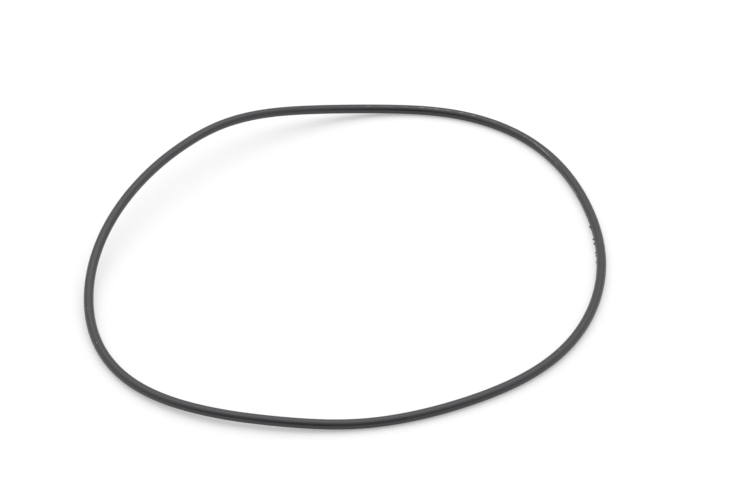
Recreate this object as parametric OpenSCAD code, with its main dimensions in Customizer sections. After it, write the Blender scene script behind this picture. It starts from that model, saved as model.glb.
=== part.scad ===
// Rubber o-ring, lying loose on a flat surface.
//
// One moulded loop of round rubber section. A thin ring this wide never lies as a flat circle:
// it keeps a little of the bend and twist of its packing, so the loop is out of round and arches
// off the surface along one side. However it is bent, its centreline keeps the same length.
//
// +Z is up and z = 0 is the surface that it lies on. The origin is on that surface, under the
// middle of the loop's box. Directions are counter-clockwise from +X, seen from above.

/* [Ring] */
// Inside diameter when the ring is round, as in its groove
inside_d = 183.74; // [130:0.01:260]
// Diameter of the rubber section
section_d = 3.53; // [1.78:0.01:7]

/* [Out of round] */
// Bulge of the two-lobed bend
lobe_2 = 6.9; // [0:0.1:12]
// Direction of one of its lobes
lobe_2_dir = 45; // [-90:1:90]
// Bulge of the three-lobed bend
lobe_3 = 2.65; // [0:0.05:5]
// Direction of one of its lobes
lobe_3_dir = -39; // [-60:1:60]
// Bulge of the four-lobed bend
lobe_4 = 1.15; // [0:0.05:3]
// Direction of one of its lobes
lobe_4_dir = -41; // [-45:1:45]
// Bulge of the five-lobed bend
lobe_5 = 0.5; // [0:0.1:2]
// Direction of one of its lobes
lobe_5_dir = -12; // [-36:1:36]
// Bulge of the six-lobed bend
lobe_6 = 0.2; // [0:0.05:1]
// Direction of one of its lobes
lobe_6_dir = -10; // [-30:1:30]
// Bulge of the seven-lobed bend
lobe_7 = 0.25; // [0:0.05:1]
// Direction of one of its lobes
lobe_7_dir = 16; // [-25:1:25]
// Bulge of the eight-lobed bend
lobe_8 = 0.15; // [0:0.05:1]
// Direction of one of its lobes
lobe_8_dir = 1; // [-22:1:22]

/* [Long arch] */
// Height that the long arch lifts the ring off the surface
long_arch_h = 12.1; // [0:0.1:20]
// Direction of its crest
long_arch_dir = 139; // [100:1:170]
// Angle round the loop from its start to its crest
long_arch_rise = 69; // [30:1:90]
// Angle round the loop from its crest to its end
long_arch_fall = 76; // [30:1:90]

/* [Short arch] */
// Height that the short arch lifts the ring off the surface
short_arch_h = 1.2; // [0:0.1:4]
// Direction of its crest
short_arch_dir = 245; // [230:1:260]
// Angle round the loop from its crest to either end
short_arch_half = 34; // [15:1:40]

/* [Hidden] */

// Sections round the loop, and corners in each section
SECTIONS = 144;
CORNERS = 20;
// Rounds taken to find the mean radius that gives the loop its length
LENGTH_ROUNDS = 6;

BENDS = [
    [2, lobe_2, lobe_2_dir],
    [3, lobe_3, lobe_3_dir],
    [4, lobe_4, lobe_4_dir],
    [5, lobe_5, lobe_5_dir],
    [6, lobe_6, lobe_6_dir],
    [7, lobe_7, lobe_7_dir],
    [8, lobe_8, lobe_8_dir]
];

section_r = section_d / 2;
round_mean_r = (inside_d + section_d) / 2;
centreline_length = 2 * PI * round_mean_r;
loop_mean_r = mean_r_of_length(round_mean_r, LENGTH_ROUNDS);
centreline = loop(loop_mean_r);

function total(values) = values * [for (value = values) 1];
function unit(v) = v / norm(v);

// Angle from one direction to another, from -180 to 180
function turn(from, to) = (to - from + 540) % 360 - 180;

// Falls smoothly from 1 at u = 0 to 0 at u = 1, level at both ends
function ease(u) =
    let (v = 1 - min(u, 1))
    v * v * v * (v * (6 * v - 15) + 10);

function arch(a, h, crest, rise, fall) =
    let (past = turn(crest, a))
    h * ease(past < 0 ? -past / rise : past / fall);

function lift(a) =
    arch(a, long_arch_h, long_arch_dir, long_arch_rise, long_arch_fall)
    + arch(a, short_arch_h, short_arch_dir, short_arch_half, short_arch_half);

function bulge(a) = total([for (bend = BENDS) bend[1] * cos(bend[0] * (a - bend[2]))]);

function loop_point(a, mean_r) =
    let (r = mean_r + bulge(a))
    [r * cos(a), r * sin(a), section_r + lift(a)];

function loop(mean_r) = [for (i = [0 : SECTIONS - 1]) loop_point(i * 360 / SECTIONS, mean_r)];

function loop_length(points) =
    total([for (i = [0 : SECTIONS - 1]) norm(points[(i + 1) % SECTIONS] - points[i])]);

// Mean radius at which the bent loop is as long as the round ring's centreline
function mean_r_of_length(mean_r, rounds) =
    rounds == 0
        ? mean_r
        : mean_r_of_length(mean_r * centreline_length / loop_length(loop(mean_r)), rounds - 1);

// The round section at point i of the centreline, square to the loop there
function section(i) =
    let (
        ahead = centreline[(i + 1) % SECTIONS],
        behind = centreline[(i + SECTIONS - 1) % SECTIONS],
        along = unit(ahead - behind),
        outward = unit(cross(along, [0, 0, 1])),
        upward = cross(outward, along)
    )
    [
        for (j = [0 : CORNERS - 1])
            let (b = j * 360 / CORNERS)
            centreline[i] + section_r * (cos(b) * outward + sin(b) * upward)
    ];

// Number of corner j of section i in the list of all corners
function corner(i, j) = (i % SECTIONS) * CORNERS + j % CORNERS;

// The middle of a span of values
function middle(values) = (min(values) + max(values)) / 2;

module o_ring() {
    corners = [for (i = [0 : SECTIONS - 1]) each section(i)];
    skin = [
        for (i = [0 : SECTIONS - 1], j = [0 : CORNERS - 1])
            each [
                [corner(i, j), corner(i, j + 1), corner(i + 1, j + 1)],
                [corner(i, j), corner(i + 1, j + 1), corner(i + 1, j)]
            ]
    ];
    color([0.13, 0.13, 0.14])
        translate([-middle([for (p = corners) p[0]]), -middle([for (p = corners) p[1]]), 0])
            polyhedron(corners, skin);
}

o_ring();
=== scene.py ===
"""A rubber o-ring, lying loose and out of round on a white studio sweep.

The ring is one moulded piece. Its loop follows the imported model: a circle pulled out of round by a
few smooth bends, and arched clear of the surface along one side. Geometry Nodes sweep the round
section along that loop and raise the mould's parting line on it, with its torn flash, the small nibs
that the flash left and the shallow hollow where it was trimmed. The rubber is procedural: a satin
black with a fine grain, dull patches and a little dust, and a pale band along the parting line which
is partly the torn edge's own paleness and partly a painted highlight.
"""

import logging
import math
from dataclasses import dataclass, field
from enum import Enum
from typing import Any, Dict, Mapping, Optional, Sequence, Tuple, Union

import bpy
import numpy as np
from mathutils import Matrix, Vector


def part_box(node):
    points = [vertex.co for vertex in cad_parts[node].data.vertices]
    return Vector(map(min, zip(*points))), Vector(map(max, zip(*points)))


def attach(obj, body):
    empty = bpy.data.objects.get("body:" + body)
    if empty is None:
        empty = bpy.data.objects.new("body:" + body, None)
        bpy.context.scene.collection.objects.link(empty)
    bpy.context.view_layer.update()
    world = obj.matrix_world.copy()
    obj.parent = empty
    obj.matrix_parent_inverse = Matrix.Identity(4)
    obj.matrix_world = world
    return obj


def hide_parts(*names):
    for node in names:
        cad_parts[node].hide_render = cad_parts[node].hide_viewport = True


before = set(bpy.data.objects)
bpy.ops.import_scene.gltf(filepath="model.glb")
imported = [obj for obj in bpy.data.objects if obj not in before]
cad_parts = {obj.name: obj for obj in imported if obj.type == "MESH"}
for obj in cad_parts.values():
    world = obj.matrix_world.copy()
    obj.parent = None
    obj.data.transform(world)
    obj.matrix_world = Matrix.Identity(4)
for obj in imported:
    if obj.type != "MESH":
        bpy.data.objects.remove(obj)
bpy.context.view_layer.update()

log = logging.getLogger("o_ring")

Colour = Tuple[float, float, float, float]
Inputs = Dict[str, Tuple[str, Any]]  # the kind and the value of each named input of a tree

MM = 0.001
FULL_TURN = 360.0  # in degrees
JUST_UNDER_ONE = 0.999999  # keeps an arc cosine off the ends of its range
WHITE: Colour = (1.0, 1.0, 1.0, 1.0)


# --------------------------------------------------------------------------- node trees as expressions


Operand = Union["Wire", float, int]


class Wire:
    """An output socket that takes part in arithmetic, adding the Math nodes that it needs."""

    def __init__(self, graph: "Graph", socket: bpy.types.NodeSocket) -> None:
        """Wraps a socket of a graph's tree."""
        self.graph = graph
        self.socket = socket

    def __add__(self, other: Operand) -> "Wire":
        """This value plus another."""
        return self.graph.math("ADD", self, other)

    __radd__ = __add__

    def __sub__(self, other: Operand) -> "Wire":
        """This value less another."""
        return self.graph.math("SUBTRACT", self, other)

    def __rsub__(self, other: Operand) -> "Wire":
        """Another value less this one."""
        return self.graph.math("SUBTRACT", other, self)

    def __mul__(self, other: Operand) -> "Wire":
        """This value times another."""
        return self.graph.math("MULTIPLY", self, other)

    __rmul__ = __mul__

    def __truediv__(self, other: Operand) -> "Wire":
        """This value over another."""
        return self.graph.math("DIVIDE", self, other)

    def __rtruediv__(self, other: Operand) -> "Wire":
        """Another value over this one."""
        return self.graph.math("DIVIDE", other, self)

    def __neg__(self) -> "Wire":
        """This value with its sign turned."""
        return self.graph.math("MULTIPLY", self, -1.0)

    def __abs__(self) -> "Wire":
        """This value without its sign."""
        return self.graph.math("ABSOLUTE", self)


class Outlets:
    """The outputs of one node, found by name."""

    def __init__(self, graph: "Graph", node: bpy.types.Node) -> None:
        """Wraps a node of a graph's tree."""
        self.graph = graph
        self.node = node

    def __getitem__(self, name: str) -> Wire:
        """The output with that identifier or name."""
        return Wire(self.graph, Graph.socket_of(self.node.outputs, name))


class Graph:
    """Writes nodes into a shader or geometry tree."""

    def __init__(self, tree: bpy.types.NodeTree) -> None:
        """Starts on a tree, which keeps the nodes that it has."""
        self.tree = tree

    @staticmethod
    def socket_of(sockets: Sequence[bpy.types.NodeSocket], key: str) -> bpy.types.NodeSocket:
        """Finds a socket by its identifier, or else by its name.

        Args:
            sockets: a node's inputs or outputs.
            key: the identifier or the name.

        Returns:
            The socket.
        """
        for socket in sockets:
            if socket.identifier == key:
                return socket
        for socket in sockets:
            if socket.name == key and socket.enabled:
                return socket
        raise KeyError(key)

    def node(
        self,
        kind: str,
        settings: Optional[Mapping[str, Any]] = None,
        values: Optional[Mapping[str, Any]] = None,
    ) -> Outlets:
        """Adds a node.

        Args:
            kind: the node's type name.
            settings: its properties, which are set before its sockets are looked up.
            values: what goes into its inputs, by identifier or name. A Wire is linked, and the rest is set.

        Returns:
            The node's outputs.
        """
        made = self.tree.nodes.new(kind)
        for name, value in (settings or {}).items():
            setattr(made, name, value)
        for name, value in (values or {}).items():
            socket = self.socket_of(made.inputs, name)
            if isinstance(value, Wire):
                self.tree.links.new(value.socket, socket)
            else:
                socket.default_value = value
        return Outlets(self, made)

    def math(self, operation: str, *operands: Operand, clamp: bool = False) -> Wire:
        """Adds a Math node.

        Args:
            operation: what it works out.
            operands: its inputs, in order.
            clamp: whether the result stays from 0 to 1.

        Returns:
            The result.
        """
        made = self.tree.nodes.new("ShaderNodeMath")
        made.operation = operation
        made.use_clamp = clamp
        for socket, operand in zip(made.inputs, operands):
            if isinstance(operand, Wire):
                self.tree.links.new(operand.socket, socket)
            else:
                socket.default_value = operand
        return Wire(self, made.outputs[0])

    def vector_math(self, operation: str, first: Wire, second: Any = None, result: str = "Vector") -> Wire:
        """Adds a Vector Math node.

        Args:
            operation: what it works out.
            first: its first vector.
            second: its second vector, or a Wire with the scale for SCALE.
            result: the output that is wanted, such as Value for a length.

        Returns:
            The result.
        """
        values: Dict[str, Any] = {"Vector": first}
        if second is not None:
            values["Scale" if operation == "SCALE" else "Vector_001"] = second
        return self.node("ShaderNodeVectorMath", {"operation": operation}, values)[result]

    def smooth(self, value: Wire, start: float, end: float) -> Wire:
        """Rises smoothly from 0 where value is start to 1 where it is end."""
        return self.node(
            "ShaderNodeMapRange",
            {"interpolation_type": "SMOOTHSTEP", "clamp": True},
            {"Value": value, "From Min": start, "From Max": end},
        )["Result"]

    def colour_mix(self, share: Operand, first: Any, second: Any, blend: str = "MIX") -> Wire:
        """Mixes two colours.

        Args:
            share: how much of the second shows, from 0 to 1.
            first: a colour, or a Wire.
            second: a colour, or a Wire.
            blend: the Mix node's way of mixing.

        Returns:
            The mixed colour.
        """
        settings = {"data_type": "RGBA", "blend_type": blend}
        values = {"Factor_Float": share, "A_Color": first, "B_Color": second}
        return self.node("ShaderNodeMix", settings, values)["Result_Color"]

    def noise(self, place: Wire, scale: float, detail: float = 2.0, rough: float = 0.5) -> Wire:
        """A cloud of values from 0 to 1 round 0.5, with lumps about 1 / scale metres across."""
        values = {"Vector": place, "Scale": scale, "Detail": detail, "Roughness": rough}
        return self.node("ShaderNodeTexNoise", None, values)["Fac"]

    def attribute(self, name: str, kind: str = "FLOAT") -> Wire:
        """A named attribute of the geometry, in a geometry tree."""
        read = self.node("GeometryNodeInputNamedAttribute", {"data_type": kind}, {"Name": name})
        return read["Attribute"]

    def store(self, geometry: Wire, name: str, value: Wire, kind: str = "FLOAT") -> Wire:
        """Keeps a value on the points of the geometry under a name, in a geometry tree."""
        return self.node(
            "GeometryNodeStoreNamedAttribute",
            {"data_type": kind, "domain": "POINT"},
            {"Geometry": geometry, "Name": name, "Value": value},
        )["Geometry"]


# --------------------------------------------------------------------------- the loop's shape


@dataclass(frozen=True)
class Swell:
    """Something that grows and dies away smoothly along a stretch of the loop."""

    size: float  # its value at the crest
    crest: float  # direction of the crest, in degrees counter-clockwise from +X
    rise: float  # degrees from its start to its crest
    fall: float  # degrees from its crest to its end

    def at(self, angles: np.ndarray) -> np.ndarray:
        """Its value at each direction.

        Args:
            angles: directions in degrees.

        Returns:
            From 0 outside the stretch to size at the crest.
        """
        past = (angles - self.crest + 1.5 * FULL_TURN) % FULL_TURN - FULL_TURN / 2.0
        share = 1.0 - np.minimum(np.where(past < 0.0, -past / self.rise, past / self.fall), 1.0)
        return self.size * share**3 * (share * (6.0 * share - 15.0) + 10.0)


@dataclass(frozen=True)
class Bend:
    """A smooth bend of the loop in plan, with a number of equal lobes."""

    lobes: int
    bulge_mm: float
    direction: float  # of one lobe, in degrees counter-clockwise from +X

    def at(self, angles: np.ndarray) -> np.ndarray:
        """How far it moves the loop outwards at each direction, in millimetres."""
        return self.bulge_mm * np.cos(np.radians(self.lobes * (angles - self.direction)))


@dataclass(frozen=True)
class Nib:
    """A small lump of rubber left where the flash tore off the inner parting line."""

    direction: float  # in degrees counter-clockwise from +X
    height_mm: float
    half_width_mm: float
    bluntness: int = 4  # 2 is a plain bell, and more is flatter on top with steeper sides

    def at(self, away_mm: np.ndarray) -> np.ndarray:
        """Its height, in millimetres, at each distance along the loop from its middle."""
        return self.height_mm * np.exp(-((away_mm / self.half_width_mm) ** self.bluntness))


@dataclass
class Loop:
    """The centreline of the ring as it lies, with what changes along it."""

    inside_d_mm: float = 183.74
    section_d_mm: float = 3.53
    bends: Tuple[Bend, ...] = (
        Bend(2, 6.9, 45.0),
        Bend(3, 2.65, -39.0),
        Bend(4, 1.15, -41.0),
        Bend(5, 0.5, -12.0),
        Bend(6, 0.2, -10.0),
        Bend(7, 0.25, 16.0),
        Bend(8, 0.15, 1.0),
    )
    arches_mm: Tuple[Swell, ...] = (
        Swell(12.1, 139.0, 69.0, 76.0),
        Swell(1.2, 245.0, 34.0, 34.0),
    )
    # How far the section has rolled, in degrees: a negative roll turns the inner parting line upwards.
    level_roll: float = 8.0
    rolls: Tuple[Swell, ...] = (
        Swell(-78.0, 62.0, 60.0, 180.0),
        Swell(22.0, 265.0, 60.0, 80.0),
    )
    length_steps: int = 2880  # that its length is measured in
    length_rounds: int = 8

    def bulge(self, angles: np.ndarray) -> np.ndarray:
        """How far the loop stands out from its mean circle at each direction, in millimetres."""
        return sum(bend.at(angles) for bend in self.bends)

    def line(self, mean_r_mm: float, angles: np.ndarray) -> np.ndarray:
        """The centreline for a mean radius, in millimetres, before it is centred.

        Args:
            mean_r_mm: the loop's mean radius in plan.
            angles: directions in degrees.

        Returns:
            One row of X, Y and Z for each direction.
        """
        reach = mean_r_mm + self.bulge(angles)
        height = self.section_d_mm / 2.0 + sum(arch.at(angles) for arch in self.arches_mm)
        turn = np.radians(angles)
        return np.stack([reach * np.cos(turn), reach * np.sin(turn), height], axis=1)

    def mean_radius_mm(self) -> float:
        """The mean radius at which the bent loop is as long as the round ring's centreline."""
        angles = np.linspace(0.0, FULL_TURN, self.length_steps, endpoint=False)
        round_length = math.pi * (self.inside_d_mm + self.section_d_mm)
        mean_r = round_length / (2.0 * math.pi)
        for _ in range(self.length_rounds):
            line = self.line(mean_r, angles)
            mean_r *= round_length / np.linalg.norm(np.roll(line, -1, axis=0) - line, axis=1).sum()
        return mean_r

    def roll(self, angles: np.ndarray) -> np.ndarray:
        """How far the section has rolled at each direction, in radians."""
        return np.radians(self.level_roll + sum(roll.at(angles) for roll in self.rolls))


# --------------------------------------------------------------------------- the parting line


class Side(Enum):
    """The two sides of the section on which the mould halves meet, as a place round the section."""

    INNER = math.pi
    OUTER = 0.0


@dataclass
class PartingLine:
    """The ridge that the mould leaves round the inside and outside of the ring, and its torn flash."""

    ridge_mm: float = 0.035  # height all the way round
    half_width_mm: float = 0.20
    outer_share: float = 0.35  # height of the outer ridge, as a share of the inner one
    nib_spread: float = 1.8  # half width of a nib's foot round the section, as a share of the ridge's
    nib_crown: float = 0.7  # height on that foot's slope from which the nib stands at its full height

    # The shallow hollow beside the inner ridge, where the flash was trimmed off.
    trim_depth_mm: float = 0.035
    trim_half_width_mm: float = 0.42
    trim_lean: float = 0.25  # how far it lies from the ridge, in radians round the section
    trimmed: Tuple[Swell, ...] = (Swell(2.0, 88.0, 62.0, 66.0),)

    # The flash is torn at random along the stretches below, and single shreds stay on it. There the ridge
    # is painted pale: on the lumps partly as torn rubber and partly as a painted highlight, and between
    # them as a painted highlight.
    torn_mm: float = 0.10  # extra height where it is torn
    tear_mm: float = 2.4  # length of a torn lump along the loop
    tear_detail: float = 1.5  # how ragged the lumps are
    tear_from: float = 0.49  # level of the cloud of lumps at which a lump begins
    tear_to: float = 0.57  # level at which it is at its full height
    pale_lump: float = 0.85  # how pale a torn lump is
    ridge_glint: float = 0.12  # how pale the ridge is between the lumps
    pale_outer: float = 0.2  # how pale a lump is on the outer ridge
    pale_foot: float = 0.55  # height on the ridge's slope from which it is fully pale
    torn_and_glint: Tuple[Swell, ...] = (
        Swell(0.5, 72.0, 20.0, 24.0),
        Swell(0.6, 42.0, 12.0, 14.0),
        Swell(0.8, 26.0, 9.0, 9.0),
        Swell(0.12, 160.0, 14.0, 16.0),
    )
    shreds: Tuple[Swell, ...] = (
        Swell(0.8, 43.0, 6.0, 6.0),
        Swell(0.6, 52.0, 2.0, 1.4),
        Swell(0.7, 57.2, 1.2, 1.6),
        Swell(0.9, 62.3, 0.9, 1.3),
        Swell(0.8, 65.3, 1.2, 0.9),
        Swell(0.9, 68.1, 1.0, 1.0),
        Swell(1.0, 71.0, 1.0, 1.2),
        Swell(1.0, 72.7, 0.8, 0.8),
        Swell(1.0, 74.3, 0.9, 1.1),
        Swell(0.5, 78.4, 0.9, 0.9),
        Swell(0.45, 81.8, 1.2, 0.9),
        Swell(0.5, 86.5, 1.0, 1.3),
    )
    nibs: Tuple[Nib, ...] = (
        Nib(12.8, 0.54, 0.24),
        Nib(12.0, 0.22, 0.30),
        Nib(8.1, 0.50, 0.22),
        Nib(6.4, 0.46, 0.24),
        Nib(3.0, 0.38, 0.34),
        Nib(1.9, 0.24, 0.26),
        Nib(-0.6, 0.26, 0.34),
        Nib(17.0, 0.20, 0.22),
        Nib(23.5, 0.18, 0.30),
    )

    @staticmethod
    def together(swells: Sequence[Swell], angles: np.ndarray) -> np.ndarray:
        """The sum of some swells at each direction, kept from 0 to 1."""
        return np.clip(sum(swell.at(angles) for swell in swells), 0.0, 1.0)

    def nib_height(self, angles: np.ndarray, along_mm: np.ndarray, length_mm: float) -> np.ndarray:
        """The height of the nibs at each point of the loop.

        Args:
            angles: the points' directions in degrees.
            along_mm: the points' distances along the loop.
            length_mm: the loop's whole length.

        Returns:
            Heights in millimetres.
        """
        height = np.zeros_like(angles)
        for nib in self.nibs:
            place = np.interp(nib.direction % FULL_TURN, angles, along_mm)
            away = (along_mm - place + length_mm / 2.0) % length_mm - length_mm / 2.0
            height = np.maximum(height, nib.at(away))
        return height


# --------------------------------------------------------------------------- finishes


@dataclass(frozen=True)
class SatinRubber:
    """Moulded black nitrile: satin, finely grained, dull in patches, and pale on the parting ridge, partly
    as torn rubber and partly as a painted highlight.
    """

    name: str = "satin_black_rubber"
    base: Colour = (0.0040, 0.0040, 0.0043, 1.0)
    bloom: Colour = (0.0110, 0.0110, 0.0118, 1.0)
    # pale of the torn flash, which along the parting ridge also serves as a painted highlight
    torn_and_glint: Colour = (0.50, 0.51, 0.53, 1.0)
    dust: Colour = (0.30, 0.30, 0.30, 1.0)
    sheen: Colour = (0.955, 0.95, 1.0, 1.0)
    specular: float = 0.75
    ior: float = 1.52

    roughness: float = 0.36
    patch_rough: float = 0.16  # how far the roughness swings from patch to patch
    mottle_rough: float = 0.12
    torn_rough: float = 0.2
    dust_rough: float = 0.3

    patch_m: float = 0.006
    patch_bloom: float = 0.55  # how much of the bloom lies in patches
    patch_edges: Tuple[float, float] = (0.35, 0.75)  # levels at which a patch begins and is full
    mottle_per_grain: float = 0.45  # lumps of mottle for each one of the grain
    mottle_bloom: float = 0.35
    mottle_edges: Tuple[float, float] = (0.45, 0.80)
    # the next levels set where the parting ridge is painted pale, partly as torn rubber and partly as a
    # painted highlight
    torn_and_glint_edges: Tuple[float, float] = (0.30, 0.60)  # levels of the mottle that turn a torn edge pale
    grain_m: float = 0.00022
    grain_depth_m: float = 0.000010

    streak_depth_m: float = 0.000006
    streaks_per_radian: float = 14.0  # round the section
    streak_drift: float = 3.0  # how far a streak wanders
    drifts_per_m: float = 90.0  # how often it does, along the loop

    dust_per_m: float = 900.0  # places for a speck
    dust_clean: float = 0.985  # share of those places that stay clean
    speck_size: float = 0.10  # least radius of a speck, as a share of its place
    speck_spread: float = 0.10  # how much larger the largest is
    speck_depth_m: float = 0.000020

    def make(self) -> bpy.types.Material:
        """Builds the material.

        Returns:
            The material, which reads the ring's own attributes and Object coordinates.
        """
        material = bpy.data.materials.new(self.name)
        material.use_nodes = True
        graph = Graph(material.node_tree)
        shader = graph.tree.nodes["Principled BSDF"]
        place = graph.node("ShaderNodeTexCoord")["Object"]
        # where the parting ridge is painted pale: torn rubber on the lumps, and a painted highlight along
        # the ridge
        torn_and_glint = self.read(graph, "torn_and_glint")
        round_section = self.read(graph, "round_section")

        patches = graph.noise(place, 1.0 / self.patch_m, detail=3.0)
        grain = graph.noise(place, 1.0 / self.grain_m, detail=2.0, rough=0.6)
        mottle = graph.noise(place, self.mottle_per_grain / self.grain_m, detail=2.0)
        streaks = self.streaks(graph, place, round_section)
        specks = self.specks(graph, place)

        bloom = (
            graph.smooth(patches, *self.patch_edges) * self.patch_bloom
            + graph.smooth(mottle, *self.mottle_edges) * self.mottle_bloom
        )
        colour = graph.colour_mix(bloom, self.base, self.bloom)
        # paints the parting ridge pale: partly torn rubber, partly a painted highlight
        pale_and_glint = graph.math("MULTIPLY", torn_and_glint, graph.smooth(mottle, *self.torn_and_glint_edges), clamp=True)
        colour = graph.colour_mix(pale_and_glint, colour, self.torn_and_glint)
        colour = graph.colour_mix(specks, colour, self.dust)
        roughness = (
            self.roughness
            + (patches - 0.5) * self.patch_rough
            + (mottle - 0.5) * self.mottle_rough
            + torn_and_glint * self.torn_rough
            + specks * self.dust_rough
        )
        height = grain * self.grain_depth_m + streaks * self.streak_depth_m + specks * self.speck_depth_m
        bump = graph.node("ShaderNodeBump", None, {"Strength": 1.0, "Distance": 1.0, "Height": height})

        graph.tree.links.new(colour.socket, shader.inputs["Base Color"])
        graph.tree.links.new(roughness.socket, shader.inputs["Roughness"])
        graph.tree.links.new(bump["Normal"].socket, shader.inputs["Normal"])
        shader.inputs["IOR"].default_value = self.ior
        shader.inputs["Specular IOR Level"].default_value = self.specular
        shader.inputs["Specular Tint"].default_value = self.sheen
        return material

    @staticmethod
    def read(graph: Graph, name: str) -> Wire:
        """One of the ring's attributes, as the shader sees it."""
        settings = {"attribute_type": "GEOMETRY", "attribute_name": name}
        return graph.node("ShaderNodeAttribute", settings)["Fac"]

    def streaks(self, graph: Graph, place: Wire, round_section: Wire) -> Wire:
        """Fine polishing marks of the mould, which run along the loop.

        Args:
            graph: the material's graph.
            place: Object coordinates.
            round_section: the place round the section, in radians.

        Returns:
            A height from 0 to 1.
        """
        drift = graph.noise(place, self.drifts_per_m, detail=1.0)
        axes = {"X": round_section * self.streaks_per_radian, "Y": drift * self.streak_drift, "Z": 0.0}
        across = graph.node("ShaderNodeCombineXYZ", None, axes)["Vector"]
        return graph.noise(across, 1.0, detail=3.0, rough=0.7)

    def specks(self, graph: Graph, place: Wire) -> Wire:
        """Sparse dust: the few cells of a Voronoi whose own colour is high enough show a dot.

        Args:
            graph: the material's graph.
            place: Object coordinates.

        Returns:
            1 on a speck and 0 elsewhere.
        """
        values = {"Vector": place, "Scale": self.dust_per_m, "Randomness": 1.0}
        cells = graph.node("ShaderNodeTexVoronoi", {"feature": "F1"}, values)
        pick = graph.node("ShaderNodeSeparateColor", None, {"Color": cells["Color"]})
        chosen = graph.math("GREATER_THAN", pick["Red"], self.dust_clean)
        size = self.speck_size + pick["Green"] * self.speck_spread
        dot = graph.math("LESS_THAN", cells["Distance"], size)
        return chosen * dot


# --------------------------------------------------------------------------- the ring


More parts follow.
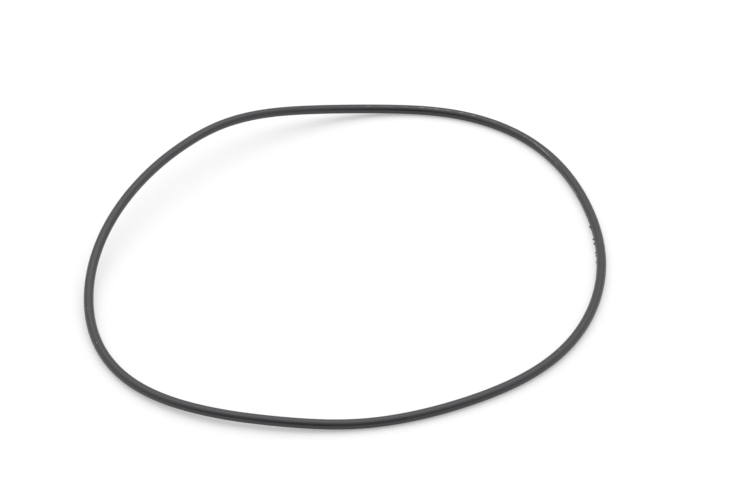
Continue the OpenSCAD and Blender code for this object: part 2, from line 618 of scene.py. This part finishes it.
@dataclass
class ORing:
    """The ring: its section swept along its loop, with the parting line raised on it."""

    loop: Loop = field(default_factory=Loop)
    parting: PartingLine = field(default_factory=PartingLine)
    finish: SatinRubber = field(default_factory=SatinRubber)
    node: str = "o_ring"
    slot: str = "rubber"
    corners: int = 36  # points round the section
    crowding: float = 0.40  # how much closer those points lie at the parting line
    sections: int = 2700  # sections round the loop
    nib_crowding: float = 0.55  # how much closer the sections lie beside the nibs
    nib_middle: float = 7.0  # direction of the nibs, in degrees
    trim_mm: float = 0.015  # taken off the section's radius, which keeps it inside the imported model's box
    tear_seed: float = 3.0
    strips: int = 7  # that the skin is cut into for its flat map
    strip_gap: float = 0.02  # left free at the edges of each strip

    def directions(self) -> np.ndarray:
        """The sections' directions in degrees, closest together beside the nibs.

        Returns:
            Rising directions from 0 to 360.
        """
        even = np.linspace(0.0, 2.0 * math.pi, self.sections, endpoint=False)
        middle = math.radians(self.nib_middle)
        crowded = even - self.nib_crowding * np.sin(even - middle) - self.nib_crowding * math.sin(middle)
        return np.degrees(crowded)

    def rail(self) -> bpy.types.Object:
        """The loop as a closed chain of edges that carries the roll, the tears and the nibs.

        Returns:
            A mesh object with one point for each section.
        """
        angles = self.directions()
        line = self.loop.line(self.loop.mean_radius_mm(), angles)
        steps = np.linalg.norm(np.roll(line, -1, axis=0) - line, axis=1)
        along = np.concatenate([[0.0], np.cumsum(steps)[:-1]])
        low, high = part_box(self.node)
        middle = (np.array(low) + np.array(high)) / (2.0 * MM)
        line[:, :2] += middle[:2] - self.middle_of(line)[:2]

        count = self.sections
        mesh = bpy.data.meshes.new("ring_rail")
        mesh.from_pydata((line * MM).tolist(), [(i, (i + 1) % count) for i in range(count)], [])
        values = {
            "along": along * MM,
            "roll": self.loop.roll(angles),
            # the stretches where the flash is torn, which also carry the painted highlight along the ridge
            "tear_and_glint": self.parting.together(self.parting.torn_and_glint, angles),
            "shred": self.parting.together(self.parting.shreds, angles),
            "trimmed": self.parting.together(self.parting.trimmed, angles),
            "nib": self.parting.nib_height(angles, along, steps.sum()) * MM,
        }
        for name, value in values.items():
            mesh.attributes.new(name, "FLOAT", "POINT").data.foreach_set("value", value.astype(np.float32))
        rail = bpy.data.objects.new("ring_rail", mesh)
        bpy.context.scene.collection.objects.link(rail)
        return rail

    @staticmethod
    def middle_of(line: np.ndarray) -> np.ndarray:
        """The middle of the box round some points."""
        return (line.min(axis=0) + line.max(axis=0)) / 2.0

    def profile(self, graph: Graph, radius: Wire, corners: Wire) -> Wire:
        """The round section, with its points crowded towards the two parting lines.

        Args:
            graph: the sweep's graph.
            radius: the section's radius.
            corners: how many points it has.

        Returns:
            A closed curve that keeps each point's place round the section as round_section.
        """
        size = {"Resolution": corners, "Radius": radius}
        circle = graph.node("GeometryNodeCurvePrimitiveCircle", {"mode": "RADIUS"}, size)["Curve"]
        even = graph.node("GeometryNodeInputIndex")["Index"] * (2.0 * math.pi) / corners
        place = even - graph.math("SINE", even * 2.0) * self.crowding
        circle = graph.store(circle, "round_section", place)
        place = graph.attribute("round_section")
        axes = {"X": graph.math("COSINE", place) * radius, "Y": graph.math("SINE", place) * radius}
        corner = graph.node("ShaderNodeCombineXYZ", None, axes)["Vector"]
        placed = {"Geometry": circle, "Position": corner}
        return graph.node("GeometryNodeSetPosition", None, placed)["Geometry"]

    @staticmethod
    def near(graph: Graph, side: Side, radius: Wire, half_width: Wire, lean: Operand = 0.0) -> Wire:
        """A ridge's height round the section, from 1 on the parting line to 0 at its foot.

        Args:
            graph: the sweep's graph.
            side: which of the two parting lines.
            radius: the section's radius.
            half_width: the ridge's half width.
            lean: how far round the section it lies from the parting line, in radians.

        Returns:
            The height.
        """
        place = graph.attribute("round_section") - lean
        away = graph.math("ARCCOSINE", graph.math("COSINE", place - side.value) * JUST_UNDER_ONE)
        slope = graph.math("SUBTRACT", 1.0, away * radius / half_width, clamp=True)
        return slope * slope * (3.0 - 2.0 * slope)

    def inputs(self, rubber: bpy.types.Material) -> Inputs:
        """The sweep's named inputs, other than the rail.

        Args:
            rubber: the ring's material.

        Returns:
            The kind and the value of each.
        """
        number = "NodeSocketFloat"
        parting = self.parting
        return {
            "Section radius": (number, (self.loop.section_d_mm / 2.0 - self.trim_mm) * MM),
            "Corners": ("NodeSocketInt", self.corners),
            "Ridge height": (number, parting.ridge_mm * MM),
            "Ridge half width": (number, parting.half_width_mm * MM),
            "Outer share": (number, parting.outer_share),
            "Nib spread": (number, parting.nib_spread),
            "Trim depth": (number, parting.trim_depth_mm * MM),
            "Trim half width": (number, parting.trim_half_width_mm * MM),
            "Trim lean": (number, parting.trim_lean),
            "Torn height": (number, parting.torn_mm * MM),
            "Tear length": (number, parting.tear_mm * MM),
            "Tear detail": (number, parting.tear_detail),
            "Seed": (number, self.tear_seed),
            "Rubber": ("NodeSocketMaterial", rubber),
        }

    def tube(self, graph: Graph, given: Outlets) -> Wire:
        """Sweeps the plain section along the rail.

        Args:
            graph: the sweep's graph.
            given: the sweep's named inputs.

        Returns:
            A tube, whose points keep the nearest place on the rail as core.
        """
        rail = graph.node("GeometryNodeMeshToCurve", None, {"Mesh": given["Rail"]})["Curve"]
        core = graph.node("GeometryNodeInputPosition")["Position"]
        rail = graph.store(rail, "core", core, "FLOAT_VECTOR")
        rail = graph.node("GeometryNodeSetCurveNormal", {"mode": "Z_UP"}, {"Curve": rail})["Curve"]
        rolled = {"Curve": rail, "Tilt": -graph.attribute("roll")}
        rail = graph.node("GeometryNodeSetCurveTilt", None, rolled)["Curve"]
        profile = self.profile(graph, given["Section radius"], given["Corners"])
        curves = {"Curve": rail, "Profile Curve": profile}
        return graph.node("GeometryNodeCurveToMesh", None, curves)["Mesh"]

    def rags(self, graph: Graph, given: Outlets) -> Wire:
        """How torn the flash is at each point of the tube, which also sets how pale it is painted, as torn
        rubber and as a painted highlight.

        Args:
            graph: the sweep's graph.
            given: the sweep's named inputs.

        Returns:
            From 0 where it is whole to 1 on a torn lump or a shred.
        """
        shift = graph.node("ShaderNodeCombineXYZ", None, {"X": 0.0, "Y": 0.0, "Z": given["Seed"]})["Vector"]
        spot = graph.vector_math("ADD", graph.attribute("core", "FLOAT_VECTOR"), shift)
        cloud = {"Vector": spot, "Scale": 1.0 / given["Tear length"], "Detail": given["Tear detail"]}
        lumps = graph.node("ShaderNodeTexNoise", None, cloud)["Fac"]
        torn_and_glint = graph.smooth(lumps, self.parting.tear_from, self.parting.tear_to) * graph.attribute("tear_and_glint")
        return graph.math("MAXIMUM", torn_and_glint, graph.attribute("shred"))

    def relief(self, graph: Graph, given: Outlets, tube: Wire) -> Wire:
        """Raises the parting line with its flash and its nibs on the tube.

        Args:
            graph: the sweep's graph.
            given: the sweep's named inputs.
            tube: the plain tube.

        Returns:
            The ring, whose points keep how pale they are painted, partly as torn rubber and partly as a
            painted highlight.
        """
        parting = self.parting
        radius, half_width = given["Section radius"], given["Ridge half width"]
        rags = self.rags(graph, given)
        inner = self.near(graph, Side.INNER, radius, half_width)
        outer = self.near(graph, Side.OUTER, radius, half_width)
        foot = self.near(graph, Side.INNER, radius, half_width * given["Nib spread"])
        hollow = self.near(graph, Side.INNER, radius, given["Trim half width"], given["Trim lean"])
        height = (
            inner * (given["Ridge height"] + rags * given["Torn height"])
            + outer * given["Ridge height"] * given["Outer share"]
            + graph.smooth(foot, 0.0, parting.nib_crown) * graph.attribute("nib")
            - hollow * graph.attribute("trimmed") * given["Trim depth"]
        )
        place = graph.node("GeometryNodeInputPosition")["Position"]
        core = graph.attribute("core", "FLOAT_VECTOR")
        outward = graph.vector_math("NORMALIZE", graph.vector_math("SUBTRACT", place, core))
        raised = {"Geometry": tube, "Offset": graph.vector_math("SCALE", outward, height)}
        ring = graph.node("GeometryNodeSetPosition", None, raised)["Geometry"]
        # the pale paint on the ridge: torn rubber with a painted highlight on the lumps, and a painted
        # highlight along the ridge between them
        pale_and_glint = rags * parting.pale_lump + graph.attribute("tear_and_glint") * parting.ridge_glint
        torn_and_glint = graph.smooth(inner, 0.0, parting.pale_foot) * pale_and_glint + outer * rags * parting.pale_outer
        return graph.store(ring, "torn_and_glint", torn_and_glint)

    def sweep_tree(self, inputs: Inputs) -> Tuple[bpy.types.NodeTree, Dict[str, str]]:
        """Builds the tree that sweeps the section along the rail.

        Args:
            inputs: the kind and the value of each named input, other than the rail.

        Returns:
            The tree, and the identifier of each of those inputs.
        """
        tree = bpy.data.node_groups.new("sweep_ring", "GeometryNodeTree")
        tree.interface.new_socket("Rail", in_out="INPUT", socket_type="NodeSocketGeometry")
        keys = {}
        for name, (kind, _) in inputs.items():
            keys[name] = tree.interface.new_socket(name, in_out="INPUT", socket_type=kind).identifier
        tree.interface.new_socket("Ring", in_out="OUTPUT", socket_type="NodeSocketGeometry")

        graph = Graph(tree)
        given = graph.node("NodeGroupInput")
        ring = self.relief(graph, given, self.tube(graph, given))
        ring = graph.node("GeometryNodeRealizeInstances", None, {"Geometry": ring})["Geometry"]
        smooth = {"Geometry": ring, "Shade Smooth": True}
        ring = graph.node("GeometryNodeSetShadeSmooth", None, smooth)["Geometry"]
        dressed = {"Geometry": ring, "Material": given["Rubber"]}
        ring = graph.node("GeometryNodeSetMaterial", None, dressed)["Geometry"]
        graph.node("NodeGroupOutput", None, {"Ring": ring})
        return tree, keys

    def build(self) -> bpy.types.Object:
        """Sweeps the ring and puts it in the frame.

        Returns:
            The ring's object, at the origin, with a plain mesh.
        """
        rail = self.rail()
        inputs = self.inputs(self.finish.make())
        tree, keys = self.sweep_tree(inputs)
        modifier = rail.modifiers.new("sweep", "NODES")
        modifier.node_group = tree
        for name, (_, value) in inputs.items():
            modifier[keys[name]] = value
        evaluated = rail.evaluated_get(bpy.context.evaluated_depsgraph_get())
        mesh = bpy.data.meshes.new_from_object(evaluated)
        mesh.name = "ring"
        bpy.data.objects.remove(rail)
        if self.volume(mesh) < 0.0:
            mesh.flip_normals()
        self.lay_flat(mesh)

        ring = bpy.data.objects.new("ring", mesh)
        bpy.context.scene.collection.objects.link(ring)
        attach(ring, "root")
        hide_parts(self.node)
        return ring

    def lay_flat(self, mesh: bpy.types.Mesh) -> None:
        """Gives the ring a flat map: its skin cut into equal strips along the loop, laid side by side.

        Args:
            mesh: the swept ring, whose points are numbered round each section and then along the loop.
        """
        along = np.empty(len(mesh.vertices))
        mesh.attributes["along"].data.foreach_get("value", along)
        starts = along[:: self.corners]
        length = starts[-1] + np.diff(starts)[-1]
        points = np.empty(len(mesh.loops), dtype=np.int64)
        mesh.loops.foreach_get("vertex_index", points)
        section, corner = np.divmod(points.reshape(-1, 4), self.corners)
        section = self.past_the_seam(section, self.sections)
        corner = self.past_the_seam(corner, self.corners)

        place = np.append(starts, length)[section] / length * self.strips
        strip = np.floor(place.min(axis=1, keepdims=True))
        even = corner / self.corners
        across = even - np.sin(even * 4.0 * math.pi) * self.crowding / (2.0 * math.pi)
        inset = self.strip_gap + across * (1.0 - 2.0 * self.strip_gap)
        back = 1.0 - (place - strip) * (1.0 - self.strip_gap)
        flat = np.stack([back, (strip + inset) / self.strips], axis=-1)
        mesh.uv_layers.new(name="OFBake").uv.foreach_set("vector", flat.ravel())

    @staticmethod
    def past_the_seam(numbers: np.ndarray, count: int) -> np.ndarray:
        """Counts on past the last number, where a face closes the round.

        Args:
            numbers: one row of numbers, from 0 to count - 1, for each face.
            count: how many there are in a round.

        Returns:
            The numbers, with 0 as count where a face joins the last one to the first.
        """
        behind = numbers.max(axis=1, keepdims=True) - numbers > 1
        return np.where(behind, numbers + count, numbers)

    @staticmethod
    def volume(mesh: bpy.types.Mesh) -> float:
        """The volume inside a closed mesh, which is negative if its faces point inwards."""
        mesh.calc_loop_triangles()
        points = np.empty(len(mesh.vertices) * 3)
        mesh.vertices.foreach_get("co", points)
        corners = np.empty(len(mesh.loop_triangles) * 3, dtype=np.int64)
        mesh.loop_triangles.foreach_get("vertices", corners)
        a, b, c = points.reshape(-1, 3)[corners.reshape(-1, 3)].transpose(1, 0, 2)
        return float(np.einsum("ij,ij->i", a, np.cross(b, c)).sum() / 6.0)


# --------------------------------------------------------------------------- the studio


@dataclass(frozen=True)
class Softbox:
    """A rectangular soft lamp."""

    name: str
    place: Tuple[float, float, float]  # from the middle of the ring, in metres
    faces: Tuple[float, float, float]  # the direction that its light leaves in
    size: Tuple[float, float]
    brightness: float  # of its face, where a white surface in full light is about 1

    def build(self, middle: Vector) -> bpy.types.Object:
        """Hangs the lamp.

        Args:
            middle: the middle of the ring.

        Returns:
            The lamp's object.
        """
        light = bpy.data.lights.new(self.name, "AREA")
        light.shape = "RECTANGLE"
        light.size, light.size_y = self.size
        light.energy = self.brightness * math.pi * light.size * light.size_y
        lamp = bpy.data.objects.new(self.name, light)
        lamp.location = middle + Vector(self.place)
        lamp.rotation_euler = Vector(self.faces).to_track_quat("-Z", "Y").to_euler()
        bpy.context.scene.collection.objects.link(lamp)
        return lamp


@dataclass(frozen=True)
class SoftRoom:
    """The room's own soft light: dim on the camera's side, bright overhead, middling behind."""

    # Brightness by elevation, in degrees, from the camera's horizon over the top to the far one.
    arc: Tuple[Tuple[float, float], ...] = (
        (0.0, 0.0),
        (20.0, 0.0),
        (40.0, 0.54),
        (55.0, 0.68),
        (70.0, 1.20),
        (90.0, 1.27),
        (120.0, 1.27),
        (150.0, 0.85),
        (180.0, 0.72),
    )
    left: float = 0.90  # brightness of the left end of that arc, and then of the right one
    right: float = 1.02
    seen: float = 0.95  # brightness of the room where the camera looks straight at it

    def build(self) -> None:
        """Sets the light as the scene's world."""
        world = bpy.data.worlds.new("room")
        world.use_nodes = True
        graph = Graph(world.node_tree)
        way = graph.node("ShaderNodeTexCoord")["Object"]
        axes = graph.node("ShaderNodeSeparateXYZ", None, {"Vector": way})
        across, along, up = axes["X"], axes["Y"], axes["Z"]
        turn = graph.math("ARCTAN2", abs(up), -along) * (180.0 / math.pi)
        over = self.arc[0][1] + sum(
            (high - low) * graph.math("DIVIDE", turn - start, end - start, clamp=True)
            for (start, low), (end, high) in zip(self.arc, self.arc[1:])
        )
        rightward = graph.math("GREATER_THAN", across, 0.0)
        side = self.left + rightward * (self.right - self.left)
        sideways = across * across
        light = over * (1.0 - sideways) + side * sideways
        direct = graph.node("ShaderNodeLightPath")["Is Camera Ray"]
        sky = graph.tree.nodes["Background"]
        sky.inputs["Color"].default_value = WHITE
        graph.tree.links.new((light + (self.seen - light) * direct).socket, sky.inputs["Strength"])
        bpy.context.scene.world = world


@dataclass
class Studio:
    """A white sweep, soft light and the camera."""

    elevation: float = 38.0  # of the camera, in degrees
    distance_m: float = 1.02
    lens_mm: float = 135.088
    sensor_mm: float = 36.0
    aim_mm: Tuple[float, float] = (7.81, 8.29)  # of the camera, from the middle of the ring
    floor_m: float = 6.0
    floor_colour: Colour = (0.76, 0.76, 0.76, 1.0)
    floor_rough: float = 0.9
    floor_specular: float = 0.1
    floor_glow: float = 0.155  # light that comes up through the sweep
    glare_share: float = 0.22  # how much of what the camera sees of the sweep is the lens's glare
    glare_level: float = 0.97
    room: SoftRoom = field(default_factory=SoftRoom)
    lamps: Tuple[Softbox, ...] = (
        Softbox("overhead_softbox", (0.0, 0.485, 1.0), (0.0, 0.0, -1.0), (1.72, 1.37), 0.68),
    )

    def build(self) -> None:
        """Builds the floor, the lamps, the world and the camera."""
        low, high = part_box("o_ring")
        middle = (low + high) / 2.0
        target = Vector((middle.x + self.aim_mm[0] * MM, middle.y + self.aim_mm[1] * MM, low.z))
        self.floor(low.z)
        for lamp in self.lamps:
            lamp.build(middle)
        self.room.build()
        self.camera(target)

    def floor(self, height: float) -> None:
        """Lays the sweep under the ring."""
        half = self.floor_m / 2.0
        mesh = bpy.data.meshes.new("sweep")
        corners = [(x * half, y * half, height) for x, y in ((-1, -1), (1, -1), (1, 1), (-1, 1))]
        mesh.from_pydata(corners, [], [(0, 1, 2, 3)])
        white = bpy.data.materials.new("white_sweep")
        white.use_nodes = True
        shader = white.node_tree.nodes["Principled BSDF"]
        shader.inputs["Base Color"].default_value = self.floor_colour
        shader.inputs["Roughness"].default_value = self.floor_rough
        shader.inputs["Specular IOR Level"].default_value = self.floor_specular
        shader.inputs["Emission Color"].default_value = WHITE
        shader.inputs["Emission Strength"].default_value = self.floor_glow
        self.glare(Graph(white.node_tree))
        mesh.materials.append(white)
        floor = bpy.data.objects.new("sweep", mesh)
        bpy.context.scene.collection.objects.link(floor)

    def glare(self, graph: Graph) -> None:
        """Lays the lens's glare over the sweep, where the camera looks straight at it.

        Args:
            graph: the sweep's shader tree.
        """
        sweep = Outlets(graph, graph.tree.nodes["Principled BSDF"])["BSDF"]
        veil = graph.node("ShaderNodeEmission", None, {"Color": WHITE, "Strength": self.glare_level})
        direct = graph.node("ShaderNodeLightPath")["Is Camera Ray"]
        layers = {"Fac": direct * self.glare_share, "Shader": sweep, "Shader_001": veil["Emission"]}
        mixed = graph.node("ShaderNodeMixShader", None, layers)["Shader"]
        graph.tree.links.new(mixed.socket, graph.tree.nodes["Material Output"].inputs["Surface"])

    def camera(self, target: Vector) -> None:
        """Sets up the camera, level, at its elevation, looking at the target."""
        lens = bpy.data.cameras.new("camera")
        lens.sensor_width = self.sensor_mm
        lens.lens = self.lens_mm
        lens.clip_start = 0.01
        eye = bpy.data.objects.new("camera", lens)
        tilt = math.radians(self.elevation)
        back = Vector((0.0, -math.cos(tilt), math.sin(tilt)))
        eye.location = target + back * self.distance_m
        eye.rotation_euler = back.to_track_quat("Z", "Y").to_euler()
        bpy.context.scene.collection.objects.link(eye)
        bpy.context.scene.camera = eye
        bpy.context.scene.view_settings.view_transform = "Standard"


def main() -> None:
    """Builds the ring, and then the studio round it."""
    logging.basicConfig(level=logging.INFO, format="%(name)s: %(message)s")
    ring = ORing().build()
    log.info("%s: %d faces, %.1f mm3", ring.name, len(ring.data.polygons), ORing.volume(ring.data) / MM**3)
    studio = Studio()
    studio.build()
    log.info("studio: camera %.0f degrees up, %.2f m away", studio.elevation, studio.distance_m)


if __name__ == "__main__":
    main()
